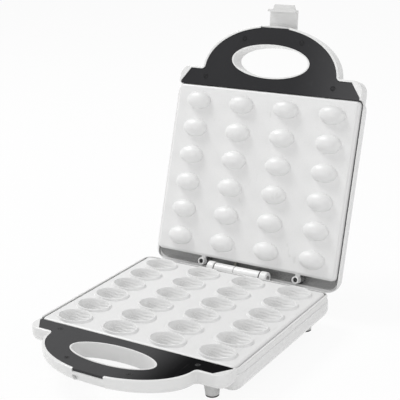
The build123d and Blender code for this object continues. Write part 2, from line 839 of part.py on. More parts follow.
with BuildPart() as base_shell:
    add(base_tray)
    add(base_band.part)
    add(base_grip)
    with BuildSketch(table.offset(pad_thickness)):
        with Locations(*foot_points):
            Circle(foot_bottom_radius)
    extrude(amount=stand_height - foot_root_depth - pad_thickness, taper=-foot_taper)
    with BuildSketch(across(base_face, base_cavity_rear)):
        with Locations((-gland_depth, gland_x)):
            Circle(gland_seat_radius)
    extrude(amount=base_rear_wall + gland_seat)
    add(base_cavity.part, mode=Mode.SUBTRACT)
    add(base_bay, mode=Mode.SUBTRACT)
    add(base_grip_hollow, mode=Mode.SUBTRACT)
    add(ears)
    with BuildSketch(side(base_face, -ear_outer_x)):
        with Locations((hinge_y, -hinge_below_face)):
            Circle(hinge_pin_radius + hinge_pin_fit)
    extrude(amount=2 * ear_outer_x, mode=Mode.SUBTRACT)
    add(base_lead_channel, mode=Mode.SUBTRACT)
    with BuildSketch(across(base_face, base_rear + gland_seat)):
        with Locations((-gland_depth, gland_x)):
            Circle(gland_radius + gland_fit)
    extrude(amount=-(gland_seat + base_rear_wall + gland_inner_length), mode=Mode.SUBTRACT)
    with BuildSketch(base_face.offset(-base_depth)):
        with GridLocations(2 * post_x, 2 * post_y, 2, 2):
            Circle(plate_screw_head_radius + screw_clearance)
    extrude(amount=plate_screw_sink + plate_screw_head_height, mode=Mode.SUBTRACT)
    with BuildSketch(base_face.offset(-base_depth)):
        with GridLocations(2 * post_x, 2 * post_y, 2, 2):
            Circle(plate_screw_radius + screw_clearance)
        with GridLocations(vent_length + vent_pitch, vent_pitch, 2, vent_count):
            SlotOverall(vent_length, vent_width)
    extrude(amount=base_depth - base_post_depth, mode=Mode.SUBTRACT)
    with BuildSketch(base_face):
        with Locations((0, hand_hole_y)):
            Ellipse(
                hand_hole_half_length - insert_fit - hand_hole_lining,
                hand_hole_half_width - insert_fit - hand_hole_lining,
            )
        with Locations((0, grip_front + channel_depth / 2)):
            Rectangle(2 * latch_notch_half_width, channel_depth)
    extrude(amount=-base_depth, mode=Mode.SUBTRACT)
    with BuildSketch(base_face.offset(-keeper_depth)):
        with Locations((0, (grip_front + latch_pivot_y + latch_front_gap) / 2)):
            Rectangle(2 * latch_notch_half_width, latch_pivot_y + latch_front_gap - grip_front)
    extrude(amount=-base_depth, mode=Mode.SUBTRACT)
    with BuildSketch(base_face.offset(-insert_seat)):
        with Locations(*insert_screw_points):
            Circle(insert_screw_radius + thread_fit)
    extrude(amount=-(insert_screw_bite + thread_end_gap), mode=Mode.SUBTRACT)
    with BuildSketch(table.offset(pad_thickness)):
        with Locations(*foot_points):
            Circle(pad_stem_radius + pad_stem_fit)
    extrude(amount=pad_stem_length + thread_end_gap, mode=Mode.SUBTRACT)
base_shell.part.label = "base_shell"

# Rubber pads under the feet
nodes = []
for name, (x, y) in zip(["front_right", "front_left", "rear_right", "rear_left"], foot_points):
    with BuildPart() as foot_pad:
        with BuildSketch(table):
            with Locations((x, y)):
                Circle(foot_bottom_radius - pad_inset)
        extrude(amount=pad_thickness)
        fillet(foot_pad.faces().sort_by(Axis.Z)[0].edges(), pad_inset)
        with BuildSketch(table.offset(pad_thickness)):
            with Locations((x, y)):
                Circle(pad_stem_radius)
        extrude(amount=pad_stem_length)
    foot_pad.part.label = "foot_pad_" + name
    nodes.append(foot_pad.part)

# Hinge: a steel pin on the right, and on the left a capped sleeve that the lead runs through
with BuildPart() as hinge_pin:
    with BuildSketch(side(base_face, ear_outer_x)):
        with Locations((hinge_y, -hinge_below_face)):
            Circle(hinge_pin_radius)
    extrude(amount=-hinge_pin_length)
hinge_pin.part.label = "hinge_pin"

with BuildPart() as hinge_sleeve:
    with BuildSketch(side(base_face, -ear_outer_x)):
        with Locations((hinge_y, -hinge_below_face)):
            Circle(hinge_pin_radius)
    extrude(amount=hinge_pin_length)
    with BuildSketch(side(base_face, sleeve_cap - ear_outer_x)):
        with Locations((hinge_y, -hinge_below_face)):
            Circle(sleeve_bore_radius)
    extrude(amount=hinge_pin_length, mode=Mode.SUBTRACT)
    add(base_lead_channel, mode=Mode.SUBTRACT)
hinge_sleeve.part.label = "hinge_sleeve"

# Hollow of the lid's tray, with lug posts, lamp posts and the lead's way in left standing
lid_tray = tray_block(
    lid_face, 0, lid_rear, rim_drop, lid_depth, lid_corner_radius, lid_edge_radius, rim_radius
)
lid_room = tray_block(
    lid_face,
    shell_wall,
    lid_cavity_rear,
    -lip_height,
    lid_floor,
    lid_corner_radius - shell_wall,
    lid_edge_radius - shell_wall,
)

with BuildPart() as lid_cavity:
    add(lid_room)
    with BuildSketch(lid_face.offset(-(lug_bottom_depth + post_gap))):
        with Locations(*lug_points):
            Circle(lug_radius)
    extrude(amount=-lid_depth, mode=Mode.SUBTRACT)
    with BuildSketch(lid_face.offset(-lamp_board_depth)):
        with Locations((0, lens_y)):
            with GridLocations(2 * (lamp_board_half_length - lamp_post_inset), 1, 2, 1):
                Circle(lamp_post_radius)
    extrude(amount=-lid_depth, mode=Mode.SUBTRACT)

lid_grip = round_grip(
    lid_face,
    grip_block(
        lid_face, grip_rim, 0, lid_grip_front_depth, lid_depth, shell_shoulder_radius
    ),
    lid_grip_edge_radius,
)
lid_grip_hollow = grip_hollow(lid_face, lid_grip_front_depth, lid_depth, lock_rear)
lid_bay = plate_bay(lid_face, lid_cavity_rear, rim_drop)

# Route of the same lead inside the lid: along the barrel, down its arm and up to the element
arm_rear = lid_rear - arm_rear_inset
arm_front = arm_rear - arm_thickness
lead_turn_x = barrel_half_length - hinge_pin_length - wire_bend
lead_depth = lid_shield_depth + shield_wall + 2 * wire_radius
lid_lead_route = [
    (barrel_half_length - hinge_pin_length + wire_bend - wire_end_gap, hinge_y, lid_hinge_height),
    (lead_turn_x, hinge_y, lid_hinge_height),
    (lead_turn_x, arm_front + arm_thickness / 3, -arm_depth),
    (heater_tail_x, arm_front - wire_bend, -lead_depth),
    (heater_tail_x, heater_tail_y + terminal_length / 2, -lead_depth),
    (heater_tail_x, heater_tail_y + terminal_length / 2, -(lid_heater_depth + terminal_radius)),
]
lid_lead_points = [lid_face.from_local_coords(point) for point in lid_lead_route]
lid_lead_channel = tube(lid_lead_points[:4], wire_channel_radius, wire_bend)

# Lid casing: dome and handle in one moulding, with the hinge barrel and its arm
with BuildPart() as lid_shell:
    add(lid_tray)
    add(lid_grip)
    add(lid_cavity.part, mode=Mode.SUBTRACT)
    add(lid_bay, mode=Mode.SUBTRACT)
    add(lid_grip_hollow, mode=Mode.SUBTRACT)
    with BuildSketch(side(lid_face, -barrel_half_length)):
        with Locations(((arm_front + arm_rear) / 2, (lid_hinge_height - arm_depth) / 2)):
            Rectangle(arm_thickness, lid_hinge_height + arm_depth)
        with Locations((hinge_y, lid_hinge_height)):
            Circle(barrel_radius)
    extrude(amount=2 * barrel_half_length)
    with BuildSketch(side(lid_face, barrel_seam_x - barrel_seam_width / 2)):
        with Locations((hinge_y, lid_hinge_height)):
            Circle(barrel_radius)
            Circle(barrel_radius - barrel_seam_depth, mode=Mode.SUBTRACT)
    extrude(amount=barrel_seam_width, mode=Mode.SUBTRACT)
    for x in (-barrel_half_length, barrel_half_length - hinge_pin_length + ear_width):
        with BuildSketch(side(lid_face, x)):
            with Locations((hinge_y, lid_hinge_height)):
                Circle(hinge_pin_radius + hinge_pin_fit)
        extrude(amount=hinge_pin_length - ear_width, mode=Mode.SUBTRACT)
    with BuildSketch(side(lid_face, lead_turn_x)):
        with Locations((hinge_y, lid_hinge_height)):
            Circle(sleeve_bore_radius)
    extrude(amount=barrel_half_length - lead_turn_x, mode=Mode.SUBTRACT)
    add(lid_lead_channel, mode=Mode.SUBTRACT)
    with BuildSketch(lid_face):
        with Locations((0, hand_hole_y)):
            Ellipse(
                hand_hole_half_length - insert_fit - hand_hole_lining,
                hand_hole_half_width - insert_fit - hand_hole_lining,
            )
        with Locations((-lens_x, lens_y), (lens_x, lens_y)):
            Circle(lens_radius + lens_fit)
    extrude(amount=-lid_depth, mode=Mode.SUBTRACT)
    with BuildSketch(lid_face.offset(latch_knuckle_radius + latch_knuckle_gap - latch_pivot_depth)):
        with Locations((0, (grip_front + latch_notch_rear) / 2)):
            Rectangle(2 * latch_notch_half_width, latch_notch_rear - grip_front)
    extrude(amount=-lid_depth, mode=Mode.SUBTRACT)
    with BuildSketch(side(lid_face, -lock_half_width)):
        with Locations((latch_pivot_y, -latch_pivot_depth)):
            Circle(latch_pin_radius + latch_pin_fit)
    extrude(amount=2 * lock_half_width, mode=Mode.SUBTRACT)
    with BuildSketch(lid_face.offset(-insert_seat)):
        with Locations(*insert_screw_points):
            Circle(insert_screw_radius + thread_fit)
    extrude(amount=-(insert_screw_bite + thread_end_gap), mode=Mode.SUBTRACT)
    with BuildSketch(lid_face.offset(-lug_bottom_depth)):
        with Locations(*lug_points):
            Circle(plate_screw_radius + thread_fit)
    extrude(amount=lug_bore_depth - lug_top - lug_screw_length, mode=Mode.SUBTRACT)
    with BuildSketch(lid_face.offset(-(tab_depth - tab_fit))):
        with GridLocations(2 * tab_x, 1, 2, 1):
            with Locations((0, (plate_front + cavity_front - tab_reach - tab_fit) / 2)):
                Rectangle(2 * (tab_half_width + tab_fit), tab_reach + front_gap + tab_fit)
    extrude(amount=-(tab_wall + 2 * tab_fit), mode=Mode.SUBTRACT)
lid_shell.part.label = "lid_shell"

# Power and ready lenses, pushed through the lid from inside
for name, x in (("power_lens", -lens_x), ("ready_lens", lens_x)):
    with BuildPart() as lens:
        with BuildSketch(lid_face.offset(-lid_floor)):
            with Locations((x, lens_y)):
                Circle(lens_flange_radius)
        extrude(amount=lens_flange_wall)
        with BuildSketch(lid_face.offset(-lid_floor)):
            with Locations((x, lens_y)):
                Circle(lens_radius)
        extrude(amount=-(shell_wall + lens_proud))
        fillet(lens.faces().sort_by(out_of(lid_face))[0].edges(), lens_dome)
    lens.part.label = name
    nodes.append(lens.part)

# Lamp board on its two posts, with a lamp behind each lens
with BuildPart() as lamp_board:
    with BuildSketch(lid_face.offset(-lamp_board_depth)):
        with Locations((0, lens_y)):
            Rectangle(2 * lamp_board_half_length, 2 * lamp_board_half_width)
    extrude(amount=lamp_board_wall)
    with BuildSketch(lid_face.offset(-lamp_board_depth)):
        with Locations((-lens_x, lens_y), (lens_x, lens_y)):
            Circle(lamp_radius)
    extrude(amount=-lamp_length)
    lamp_ends = lamp_board.faces().group_by(out_of(lid_face))[0]
    fillet(lamp_ends.edges(), lamp_tip_radius)
lamp_board.part.label = "lamp_board"

# Heating elements, clamp bars and heat shields
base_heater = heating_tube(base_face, base_heater_depth)
base_heater.label = "base_heater"
lid_heater = heating_tube(lid_face, lid_heater_depth)
lid_heater.label = "lid_heater"
base_heater_clamps = clamps(base_face, base_post_depth)
base_heater_clamps.label = "base_heater_clamps"
lid_heater_clamps = clamps(lid_face, lid_post_depth)
lid_heater_clamps.label = "lid_heater_clamps"
base_heat_shield = shield(base_face, base_shield_depth)
base_heat_shield.label = "base_heat_shield"
lid_heat_shield = shield(lid_face, lid_shield_depth)
lid_heat_shield.label = "lid_heat_shield"

# Screws of the plates and of the lid's clamps
base_screw_seat = base_depth - plate_screw_sink - plate_screw_head_height
base_plate_screw = screw(
    plate_screw_radius,
    base_screw_seat - base_post_depth + plate_screw_bite,
    plate_screw_head_radius,
    plate_screw_head_height,
)
with BuildPart() as base_plate_screws:
    with Locations(behind(base_face, base_screw_seat)):
        with GridLocations(2 * post_x, 2 * post_y, 2, 2):
            add(base_plate_screw)
base_plate_screws.part.label = "base_plate_screws"

lid_screw_seat = lid_shield_depth + shield_wall
lid_clamp_screw = screw(
    plate_screw_radius,
    lid_screw_seat - lid_post_depth + clamp_screw_bite,
    plate_screw_head_radius,
    plate_screw_head_height,
)
with BuildPart() as lid_clamp_screws:
    with Locations(behind(lid_face, lid_screw_seat)):
        with GridLocations(2 * post_x, 2 * post_y, 2, 2):
            add(lid_clamp_screw)
lid_clamp_screws.part.label = "lid_clamp_screws"

lug_screw = screw(
    plate_screw_radius, lug_screw_length, lug_screw_head_radius, plate_screw_head_height
)
with BuildPart() as lid_plate_screws:
    with Locations(lid_face.offset(lug_top - lug_bore_depth)):
        with Locations(*lug_points):
            add(lug_screw)
lid_plate_screws.part.label = "lid_plate_screws"

# Thermostat under the middle of the lower plate
with BuildPart() as thermostat:
    with BuildSketch(base_face.offset(-thermostat_depth)):
        Circle(thermostat_radius)
    extrude(amount=-thermostat_cup_height)
    with BuildSketch(base_face.offset(-thermostat_depth)):
        Circle(thermostat_body_radius)
    extrude(amount=-thermostat_height)
    with BuildSketch(base_face.offset(-(thermostat_depth + thermostat_height))):
        with GridLocations(1, 2 * blade_y, 1, 2):
            Rectangle(2 * blade_half_width, blade_wall)
    extrude(amount=-blade_length)
thermostat.part.label = "thermostat"

# Thermal fuse lying on the heat shield
with BuildPart() as thermal_fuse:
    with BuildSketch(across(base_face, fuse_y - fuse_half_length)):
        with Locations((fuse_radius - base_shield_depth, 0)):
            Circle(fuse_radius)
    extrude(amount=2 * fuse_half_length)
    fillet(thermal_fuse.edges().filter_by(GeomType.CIRCLE), fuse_edge_radius)
thermal_fuse.part.label = "thermal_fuse"

# Terminal block on its plinth in the rear of the base
block_bottom = base_floor - block_plinth
with BuildPart() as terminal_block:
    with BuildSketch(base_face.offset(-block_bottom)):
        with Locations((block_x, block_y)):
            Rectangle(block_length, block_width)
    extrude(amount=block_height)
    with BuildSketch(base_face.offset(block_height - block_bottom)):
        with Locations((block_x, block_y)):
            with GridLocations(block_pitch, 1, 3, 1):
                Circle(block_screw_radius)
    extrude(amount=-block_screw_depth, mode=Mode.SUBTRACT)
terminal_block.part.label = "terminal_block"

# Gland for the mains lead in the rear wall
with BuildPart() as cord_gland:
    with BuildSketch(across(base_face, base_rear + gland_seat)):
        with Locations((-gland_depth, gland_x)):
            Circle(gland_flange_radius)
    extrude(amount=gland_flange_wall)
    fillet(cord_gland.faces().sort_by(Axis.Y)[-1].edges(), gland_edge_radius)
    with BuildSketch(across(base_face, base_rear + gland_seat)):
        with Locations((-gland_depth, gland_x)):
            Circle(gland_radius)
    extrude(amount=-(gland_seat + base_rear_wall + gland_inner_length))
    with BuildSketch(across(base_face, base_rear + gland_seat + gland_flange_wall)):
        with Locations((-gland_depth, gland_x)):
            Circle(gland_bore_radius)
    extrude(amount=-base_depth, mode=Mode.SUBTRACT)
cord_gland.part.label = "cord_gland"

# Leads in the base: gland to block, block to element, element to fuse, fuse to thermostat, and
# the one that crosses the hinge
block_top = block_bottom - block_height / 2
wire_y = heater_tail_y + terminal_length / 2
fuse_depth = base_shield_depth - fuse_radius
crossing_depth = base_heater_depth - heater_radius - 2 * wire_radius
fuse_rear = fuse_y + fuse_half_length
base_wire_routes = [
    [
        (gland_x, base_cavity_rear, -gland_depth),
        (gland_x, block_y + wire_bend, -gland_depth),
        (block_x - block_length / 2 - block_lead_run, block_y, -block_top),
        (block_x - block_length / 2 - wire_end_gap, block_y, -block_top),
    ],
    [
        (block_x + block_length / 2 + wire_end_gap, block_y, -block_top),
        (block_x + block_length / 2 + block_lead_run, block_y, -base_heater_depth),
        (-heater_tail_x - terminal_radius - wire_end_gap, wire_y, -base_heater_depth),
    ],
    [
        (heater_tail_x - terminal_radius - wire_end_gap, wire_y, -base_heater_depth),
        (0, wire_y, -base_heater_depth),
        (0, heater_rear_y, -crossing_depth),
        (0, fuse_rear + wire_bend, -crossing_depth),
        (0, fuse_rear + wire_bend, -fuse_depth),
    ],
    [
        (0, fuse_y - fuse_half_length - wire_end_gap, -fuse_depth),
        (0, blade_y + blade_wall / 2 + wire_end_gap, -fuse_depth + wire_radius),
    ],
    base_lead_route,
]
with BuildPart() as base_wiring:
    for route in base_wire_routes:
        add(tube([base_face.from_local_coords(point) for point in route], wire_radius, wire_bend))
base_wiring.part.label = "base_wiring"

# Leads in the lid: hinge to element, and element to lamp board
board_edge_x = lamp_board_half_length + wire_end_gap
board_lead_x = board_edge_x + board_lead_run
lid_wire_route = [
    (-heater_tail_x, wire_y, -(lid_heater_depth + terminal_radius)),
    (-heater_tail_x, wire_y, -lead_depth),
    (-board_lead_x, heater_rear_y, -lead_depth),
    (-board_lead_x, lens_y, -lead_depth),
    (-board_edge_x, lens_y, -lead_depth),
]
with BuildPart() as lid_wiring:
    for route in (lid_lead_route, lid_wire_route):
        add(tube([lid_face.from_local_coords(point) for point in route], wire_radius, wire_bend))
lid_wiring.part.label = "lid_wiring"

# Latch: a panel hung on its pin, with a hook that goes under the base's handle and a finger lip
with BuildPart() as latch_pin:
    with BuildSketch(side(latch_face, -lock_half_width)):
        Circle(latch_pin_radius)
    extrude(amount=2 * lock_half_width)
latch_pin.part.label = "latch_pin"

latch_end = latch_hook_drop + latch_hook_wall
with BuildPart() as latch:
    with BuildSketch(side(latch_face, -latch_half_width)):
        with Locations((0, 0)):
            Circle(latch_knuckle_radius)
        with BuildLine():
            Polyline(
                (-latch_knuckle_radius, 0),
                (-latch_knuckle_radius, -latch_reach - latch_panel_wall),
                (latch_end, -latch_reach - latch_panel_wall),
                (latch_end, latch_hook_length - latch_reach),
                (latch_hook_drop, latch_hook_length - latch_reach),
                (latch_hook_drop, -latch_reach),
                (latch_web_height - latch_knuckle_radius, -latch_reach),
                (latch_web_height - latch_knuckle_radius, 0),
                close=True,
            )
        make_face()
        Circle(latch_pin_radius + latch_pin_fit, mode=Mode.SUBTRACT)
    extrude(amount=2 * latch_half_width)
    with BuildSketch(latch_face.offset(-latch_reach - latch_panel_wall)):
        with BuildLine():
            Polyline(
                (-latch_lip_root_half_width, latch_end),
                (latch_lip_root_half_width, latch_end),
                (latch_lip_end_half_width, latch_end + latch_lip_height),
                (-latch_lip_end_half_width, latch_end + latch_lip_height),
                close=True,
            )
        make_face()
    extrude(amount=latch_lip_wall)
latch.part.label = "latch"

nodes += [base_handle_insert, lid_handle_insert, base_heater, lid_heater]
nodes += [base_heater_clamps, lid_heater_clamps, base_heat_shield, lid_heat_shield]
nodes += [
    builder.part
    for builder in (
        base_shell,
        base_plate,
        base_insert_screws,
        base_plate_screws,
        hinge_pin,
        hinge_sleeve,
        thermostat,
        thermal_fuse,
        terminal_block,
        cord_gland,
        base_wiring,
        lid_shell,
        lid_plate,
        lid_insert_screws,
        lid_plate_screws,
        lid_clamp_screws,
        lamp_board,
        lid_wiring,
        latch_pin,
        latch,
    )
]
os.makedirs("parts", exist_ok=True)
for node in nodes:
    export_step(node, "parts/" + node.label + ".step")
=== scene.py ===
from math import cos, pi, radians, sin, sqrt
import bpy
from mathutils import Matrix, Vector


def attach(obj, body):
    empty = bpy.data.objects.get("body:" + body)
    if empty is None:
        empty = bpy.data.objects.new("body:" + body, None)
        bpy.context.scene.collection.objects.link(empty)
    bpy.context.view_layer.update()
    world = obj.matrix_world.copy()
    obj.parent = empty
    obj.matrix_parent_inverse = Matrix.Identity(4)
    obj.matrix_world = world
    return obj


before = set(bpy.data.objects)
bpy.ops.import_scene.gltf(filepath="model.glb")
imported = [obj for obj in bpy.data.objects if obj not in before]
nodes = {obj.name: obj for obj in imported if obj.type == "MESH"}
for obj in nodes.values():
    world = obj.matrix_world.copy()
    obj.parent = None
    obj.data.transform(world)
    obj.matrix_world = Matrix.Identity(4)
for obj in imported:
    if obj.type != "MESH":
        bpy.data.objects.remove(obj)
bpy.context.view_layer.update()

# Camera: a long lens above the front right corner, a little tilted
# as the photographer held it, looking at the middle of the maker.
camera_azimuth = radians(31.98)
camera_elevation = radians(18.269)
camera_roll = radians(-1.465)
camera_distance = 1.031468
camera_target = Vector((0, 0.005181, 0.13962))
camera_data = bpy.data.cameras.new("camera")
camera_data.sensor_width = 36
camera_data.lens = 93.55
camera_data.clip_end = 20
camera = bpy.data.objects.new("camera", camera_data)
bpy.context.scene.collection.objects.link(camera)
looking = Vector((
    -sin(camera_azimuth) * cos(camera_elevation),
    cos(camera_azimuth) * cos(camera_elevation),
    -sin(camera_elevation),
))
level_right = Vector((cos(camera_azimuth), sin(camera_azimuth), 0))
level_up = level_right.cross(looking)
right = level_right * cos(camera_roll) + level_up * sin(camera_roll)
up = level_up * cos(camera_roll) - level_right * sin(camera_roll)
camera.matrix_world = Matrix.Translation(camera_target - looking * camera_distance) @ Matrix(
    (right, up, -looking)
).transposed().to_4x4()
bpy.context.scene.camera = camera
bpy.context.scene.view_settings.view_transform = "Standard"


# Room: an even pale sky, seen as white behind the maker and in
# what shines, with a softer level for the light that it gives.
def link(tree, *pairs):
    """Wires drawn from each first socket to its second"""
    for start, end in pairs:
        tree.links.new(start, end)


def seen_directly(tree):
    """1 for the camera's rays and for those that a gloss or a clear piece passes on"""
    path = tree.nodes.new("ShaderNodeLightPath")
    first = tree.nodes.new("ShaderNodeMath")
    first.operation = "MAXIMUM"
    both = tree.nodes.new("ShaderNodeMath")
    both.operation = "MAXIMUM"
    link(
        tree,
        (path.outputs["Is Camera Ray"], first.inputs[0]),
        (path.outputs["Is Glossy Ray"], first.inputs[1]),
        (first.outputs[0], both.inputs[0]),
        (path.outputs["Is Transmission Ray"], both.inputs[1]),
    )
    return both.outputs[0]


sky_white = (1, 1, 1, 1)
world = bpy.data.worlds.new("room")
world.use_nodes = True
bpy.context.scene.world = world
sky = world.node_tree
sky.nodes.clear()
sky_out = sky.nodes.new("ShaderNodeOutputWorld")
sky_light = sky.nodes.new("ShaderNodeBackground")
sky_light.inputs["Color"].default_value = sky_white
sky_light.inputs["Strength"].default_value = 0.46
sky_seen = sky.nodes.new("ShaderNodeBackground")
sky_seen.inputs["Color"].default_value = sky_white
sky_seen.inputs["Strength"].default_value = 1
sky_mix = sky.nodes.new("ShaderNodeMixShader")
link(
    sky,
    (seen_directly(sky), sky_mix.inputs[0]),
    (sky_light.outputs[0], sky_mix.inputs[1]),
    (sky_seen.outputs[0], sky_mix.inputs[2]),
    (sky_mix.outputs[0], sky_out.inputs[0]),
)

# Lamps: a soft box high on the left, which models the cups, a broad
# low one in front for the upper plate, and a weak one on the right.
lamps = [
    ("key_light", (-1.2, 0.0, 1.74), 0.7, 21),
    ("front_light", (-0.5, -2.1, 0.62), 1.1, 9),
    ("side_light", (1.9, -0.3, 0.7), 1.0, 8),
]
for lamp_name, lamp_place, lamp_size, lamp_power in lamps:
    lamp_data = bpy.data.lights.new(lamp_name, "AREA")
    lamp_data.size = lamp_size
    lamp_data.energy = lamp_power
    lamp = bpy.data.objects.new(lamp_name, lamp_data)
    lamp.location = lamp_place
    lamp.rotation_euler = (camera_target - lamp.location).to_track_quat("-Z", "Y").to_euler()
    bpy.context.scene.collection.objects.link(lamp)

# Floor: a plain matt white table top that carries on out of
# sight, and keeps a light shadow of the maker.
floor_half_width = 6
floor_corners = ((-1, -1), (1, -1), (1, 1), (-1, 1))
floor_tone = (0.9, 0.9, 0.9, 1)
floor_white_share = 0.93
floor_mesh = bpy.data.meshes.new("floor")
floor_mesh.from_pydata(
    [(x * floor_half_width, y * floor_half_width, 0) for x, y in floor_corners],
    [],
    [(0, 1, 2, 3)],
)
floor = bpy.data.objects.new("floor", floor_mesh)
bpy.context.scene.collection.objects.link(floor)
floor_paint = bpy.data.materials.new("floor_paint")
floor_paint.use_nodes = True
paint = floor_paint.node_tree
paint.nodes.clear()
paint_out = paint.nodes.new("ShaderNodeOutputMaterial")
paint_matt = paint.nodes.new("ShaderNodeBsdfDiffuse")
paint_matt.inputs["Color"].default_value = floor_tone
paint_white = paint.nodes.new("ShaderNodeEmission")
paint_white.inputs["Strength"].default_value = 1
paint_share = paint.nodes.new("ShaderNodeMath")
paint_share.operation = "MULTIPLY"
paint_share.inputs[1].default_value = floor_white_share
paint_mix = paint.nodes.new("ShaderNodeMixShader")
link(
    paint,
    (seen_directly(paint), paint_share.inputs[0]),
    (paint_share.outputs[0], paint_mix.inputs[0]),
    (paint_matt.outputs[0], paint_mix.inputs[1]),
    (paint_white.outputs[0], paint_mix.inputs[2]),
    (paint_mix.outputs[0], paint_out.inputs[0]),
)
floor_mesh.materials.append(floor_paint)


# Handling marks: faint hairline scuffs, a film of dust on what lies
# flat, and the slow colour drift of a used surface. Each finish below
# takes its own size and share of them.
def noise(tree, where, scale, detail=2, roughness=0.5):
    """Cloudy noise, read at a place"""
    node = tree.nodes.new("ShaderNodeTexNoise")
    node.inputs["Scale"].default_value = scale
    node.inputs["Detail"].default_value = detail
    node.inputs["Roughness"].default_value = roughness
    link(tree, (where, node.inputs["Vector"]))
    return node.outputs["Fac"]


def spread(tree, value, between, to=(0, 1)):
    """A value between two limits brought to another range, softly"""
    node = tree.nodes.new("ShaderNodeMapRange")
    node.interpolation_type = "SMOOTHSTEP"
    sockets = ("From Min", "From Max", "To Min", "To Max")
    for socket_name, number in zip(sockets, (*between, *to)):
        node.inputs[socket_name].default_value = number
    link(tree, (value, node.inputs["Value"]))
    return node.outputs["Result"]


def calc(tree, operation, a, b):
    """Two values, or a value and a number, put together"""
    node = tree.nodes.new("ShaderNodeMath")
    node.operation = operation
    link(tree, (a, node.inputs[0]))
    if isinstance(b, float):
        node.inputs[1].default_value = b
    else:
        link(tree, (b, node.inputs[1]))
    return node.outputs[0]


marks = bpy.data.node_groups.new("handling_marks", "ShaderNodeTree")
marks.interface.new_socket("Where", in_out="INPUT", socket_type="NodeSocketVector")
for mark_setting in ("Scuff Size", "Scuff Share"):
    marks.interface.new_socket(mark_setting, in_out="INPUT", socket_type="NodeSocketFloat")
for mark_result in ("Scuffs", "Dust", "Drift"):
    marks.interface.new_socket(mark_result, in_out="OUTPUT", socket_type="NodeSocketFloat")
marks_in = marks.nodes.new("NodeGroupInput")
marks_out = marks.nodes.new("NodeGroupOutput")
marks_where = marks_in.outputs["Where"]
stretched = marks.nodes.new("ShaderNodeMapping")
stretched.inputs["Rotation"].default_value = (0.3, 0.2, 0.7)
stretched.inputs["Scale"].default_value = (1, 0.08, 0.6)
hairs = marks.nodes.new("ShaderNodeTexNoise")
hairs.inputs["Detail"].default_value = 3
link(
    marks,
    (marks_where, stretched.inputs["Vector"]),
    (stretched.outputs[0], hairs.inputs["Vector"]),
    (marks_in.outputs["Scuff Size"], hairs.inputs["Scale"]),
)
hair_patches = noise(marks, marks_where, scale=14, detail=3, roughness=0.6)
hair_share = calc(
    marks,
    "MULTIPLY",
    spread(marks, hairs.outputs["Fac"], between=(0.6, 0.72)),
    spread(marks, hair_patches, between=(0.48, 0.64)),
)
facing = marks.nodes.new("ShaderNodeNewGeometry")
facing_parts = marks.nodes.new("ShaderNodeSeparateXYZ")
link(marks, (facing.outputs["Normal"], facing_parts.inputs[0]))
lying_flat = spread(marks, facing_parts.outputs["Z"], between=(0.2, 0.95))
dust_specks = noise(marks, marks_where, scale=900, roughness=0.6)
dust_film = noise(marks, marks_where, scale=22, detail=4, roughness=0.6)
dust_cover = calc(
    marks,
    "MULTIPLY",
    spread(marks, dust_specks, between=(0.56, 0.7)),
    spread(marks, dust_film, between=(0.42, 0.7)),
)
link(
    marks,
    (calc(marks, "MULTIPLY", hair_share, marks_in.outputs["Scuff Share"]), marks_out.inputs["Scuffs"]),
    (calc(marks, "MULTIPLY", dust_cover, lying_flat), marks_out.inputs["Dust"]),
    (noise(marks, marks_where, scale=7), marks_out.inputs["Drift"]),
)


# Casings: two deep trays with looped handles, each moulded in one
# piece from gloss white plastic, with the fine orange peel and slow
# waves of cooled plastic. Their deep insides and recesses are darkened with painted shade.
def new_finish(name):
    """A material with its nodes, its shader and the object's own coordinates"""
    material = bpy.data.materials.new(name)
    material.use_nodes = True
    tree = material.node_tree
    where = tree.nodes.new("ShaderNodeTexCoord").outputs["Object"]
    return material, tree, tree.nodes["Principled BSDF"], where


def handling(tree, where, scuff_size, scuff_share):
    """The handling marks, placed in a material with its own values"""
    node = tree.nodes.new("ShaderNodeGroup")
    node.node_tree = marks
    node.inputs["Scuff Size"].default_value = scuff_size
    node.inputs["Scuff Share"].default_value = scuff_share
    link(tree, (where, node.inputs["Where"]))
    return node.outputs


def blended(tree, share, a, b):
    """Two colours mixed by a share, through the mix node's colour sockets"""
    node = tree.nodes.new("ShaderNodeMix")
    node.data_type = "RGBA"
    link(tree, (share, node.inputs[0]))
    for socket, colour in ((node.inputs[6], a), (node.inputs[7], b)):
        if isinstance(colour, tuple):
            socket.default_value = (*colour, 1)
        else:
            link(tree, (colour, socket))
    return node.outputs[2]


def bumped(tree, height, distance):
    """A fine relief, as a normal"""
    node = tree.nodes.new("ShaderNodeBump")
    node.inputs["Distance"].default_value = distance
    node.inputs["Strength"].default_value = 1
    link(tree, (height, node.inputs["Height"]))
    return node.outputs["Normal"]


def finish_with(material, *names):
    """A material put on CAD pieces in place of their own"""
    for name in names:
        mesh = nodes[name].data
        mesh.materials.clear()
        mesh.materials.append(material)
        for face in mesh.polygons:
            face.material_index = 0


